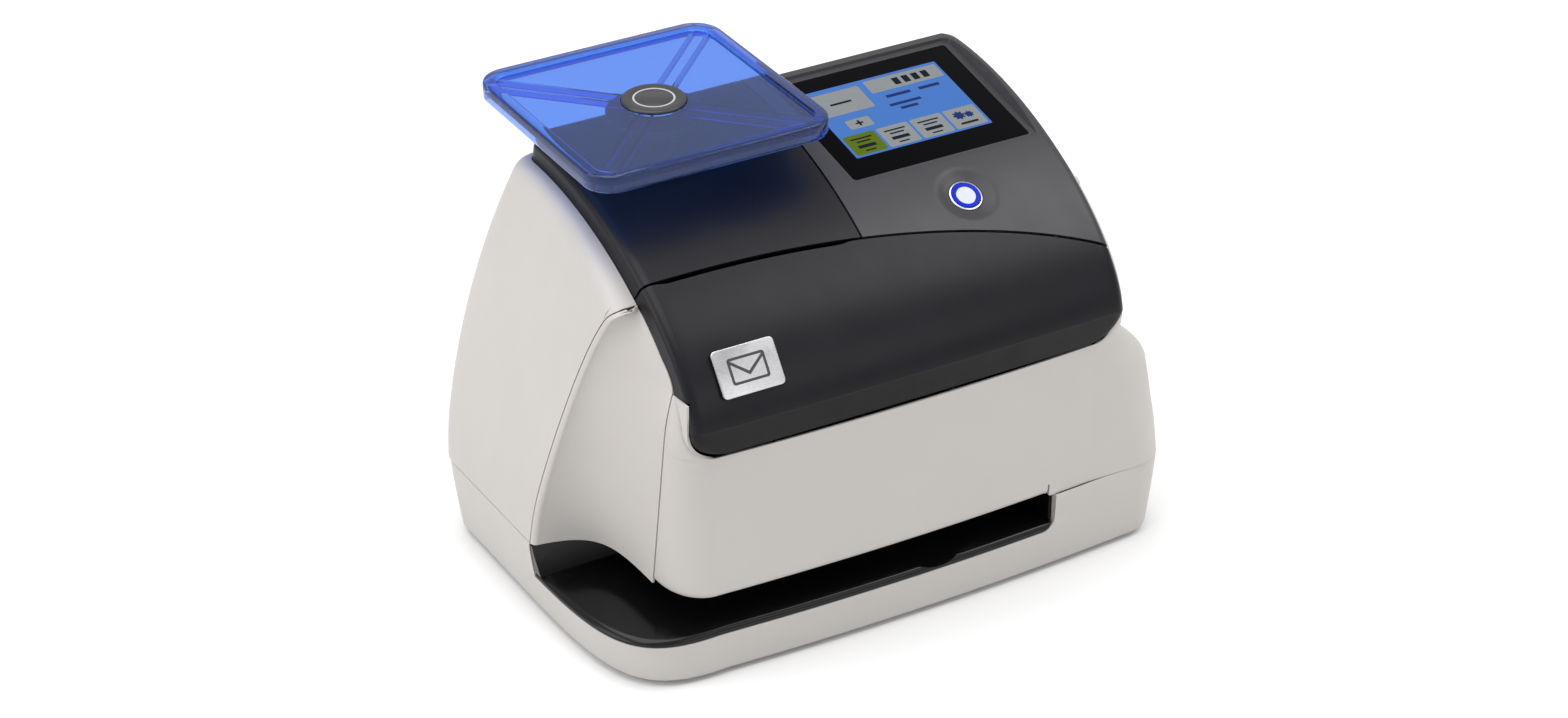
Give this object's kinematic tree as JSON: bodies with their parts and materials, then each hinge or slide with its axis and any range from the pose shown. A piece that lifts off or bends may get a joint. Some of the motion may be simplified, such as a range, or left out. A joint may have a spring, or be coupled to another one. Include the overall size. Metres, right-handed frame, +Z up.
{
  "type": "franking machine",
  "caption": "Desktop franking machine with a domed shell, lift-up front flap, touch display, lit start button, sideways letter slot and a square weighing platter.",
  "frame": {"origin": "middle of the footprint, on the surface that the rubber feet stand on", "axes": "+X to the user's right along the letter slot, +Y to the rear, +Z up"},
  "size_m": [0.322, 0.2042, 0.2475],
  "materials": {
    "white_shell": "fine-textured warm light grey moulding",
    "dark_cover": "smooth dark grey moulding, satin",
    "control_panel_grey": "smooth mid grey moulding, satin",
    "gloss_black": "polished near-black",
    "rubber": "matt black rubber",
    "screw_steel": "plain zinc-plated and ground steel",
    "bright_trim": "satin silver",
    "load_cell_aluminium": "machined",
    "blue_clear": "clear blue, polished",
    "button_white": "lit white cap",
    "inner_grey": "plain moulding",
    "inner_black": "plain black moulding",
    "board_green": "green solder mask",
    "ribbon_cream": "flexible film",
    "pad_felt": "grey felt"
  },
  "bodies": {
    "casing": {"base_tray": "white_shell", "foot_front_left": "rubber", "foot_front_right": "rubber", "foot_rear_left": "rubber", "foot_rear_right": "rubber", "case_screw_front": "screw_steel", "case_screw_rear_right": "screw_steel", "case_screw_rear_left": "screw_steel", "letter_deck": "gloss_black", "rear_shell": "white_shell", "scoop_panel": "white_shell", "front_casing": "white_shell", "flap_hinge_pin_left": "screw_steel", "flap_hinge_pin_right": "screw_steel", "scale_cover": "dark_cover", "control_panel": "control_panel_grey", "display_glass": "gloss_black", "display_module": "inner_grey", "display_ribbon": "ribbon_cream", "button_rim": "bright_trim", "start_switch": "inner_grey", "load_cell": "load_cell_aluminium", "load_cell_bracket": "screw_steel", "chassis_plate": "screw_steel", "carriage_frame_left": "screw_steel", "carriage_frame_right": "screw_steel", "guide_rod_front": "screw_steel", "guide_rod_rear": "screw_steel", "encoder_strip": "ribbon_cream", "carriage_belt": "rubber", "idler_axle": "screw_steel", "carriage_motor": "load_cell_aluminium", "service_tray": "inner_black", "waste_ink_pad": "pad_felt", "wiper_blade": "rubber", "letter_guide": "inner_black", "pressure_spring_left": "screw_steel", "pressure_spring_right": "screw_steel", "sensor_pin": "screw_steel", "main_board": "board_green", "power_supply": "inner_grey", "power_inlet": "inner_black", "data_port": "screw_steel"},
    "flap": {"front_flap": "dark_cover", "badge": "bright_trim"},
    "platter": {"weighing_platter": "blue_clear", "platter_cap": "gloss_black", "platter_hub": "inner_black"},
    "start_key": {"start_button": "button_white", "button_ring": "blue_clear"},
    "carriage": {"print_carriage": "inner_grey", "ink_cartridge": "gloss_black", "latch_pin": "screw_steel"},
    "latch": {"cartridge_latch": "inner_grey"},
    "motor_wheel": {"motor_pulley": "inner_grey"},
    "idler_wheel": {"idler_pulley": "inner_grey"},
    "pressure": {"pressure_plate": "inner_black"},
    "cap_sled": {"capping_cradle": "inner_grey", "cap_seal": "rubber"},
    "sensor": {"sensor_lever": "inner_black"}
  },
  "joints": [
    {"name": "flap_hinge", "type": "hinge", "parent": "casing", "child": "flap", "pos_m": [0, -0.09217, 0.113], "axis": [1, 0, 0], "range_deg": [0, 85]},
    {"name": "platter_load", "type": "slide", "parent": "casing", "child": "platter", "axis": [0, 0, 1], "range_m": [-0.0006, 0], "stiffness_N_per_m": 8000, "springref_m": 0.001},
    {"name": "start_press", "type": "slide", "parent": "casing", "child": "start_key", "axis": [0, -0.492, 0.8706], "range_m": [-0.0012, 0], "stiffness_N_per_m": 400, "springref_m": 0.002},
    {"name": "carriage_travel", "type": "slide", "parent": "casing", "child": "carriage", "axis": [1, 0, 0], "range_m": [-0.198, 0]},
    {"name": "latch_hinge", "type": "hinge", "parent": "carriage", "child": "latch", "pos_m": [0.111, -0.02187, 0.108], "axis": [1, 0, 0], "range_deg": [-70, 0]},
    {"name": "motor_turn", "type": "hinge", "parent": "casing", "child": "motor_wheel", "pos_m": [0.121, -0.00687, 0.0737], "axis": [0, 0, 1], "range_deg": [-1440, 0]},
    {"name": "idler_turn", "type": "hinge", "parent": "casing", "child": "idler_wheel", "pos_m": [-0.106, -0.00687, 0.0737], "axis": [0, 0, 1], "range_deg": [-1440, 0]},
    {"name": "plate_press", "type": "slide", "parent": "casing", "child": "pressure", "axis": [0, 0, 1], "range_m": [-0.006, 0], "stiffness_N_per_m": 300, "springref_m": 0.01, "deforming": ["pressure_spring_left", "pressure_spring_right"]},
    {"name": "cap_lift", "type": "slide", "parent": "casing", "child": "cap_sled", "axis": [0, 0, 1], "range_m": [-0.004, 0], "stiffness_N_per_m": 200, "springref_m": 0.006},
    {"name": "sensor_swing", "type": "hinge", "parent": "casing", "child": "sensor", "pos_m": [0.04, -0.01787, 0.0502], "axis": [1, 0, 0], "range_deg": [0, 35], "stiffness_Nm_per_rad": 0.01, "springref_deg": -11.46}
  ],
  "couplings": [
    {"joint": "motor_turn", "follows": "carriage_travel", "rad_per_m": 126.58},
    {"joint": "idler_turn", "follows": "carriage_travel", "rad_per_m": 126.58}
  ]
}
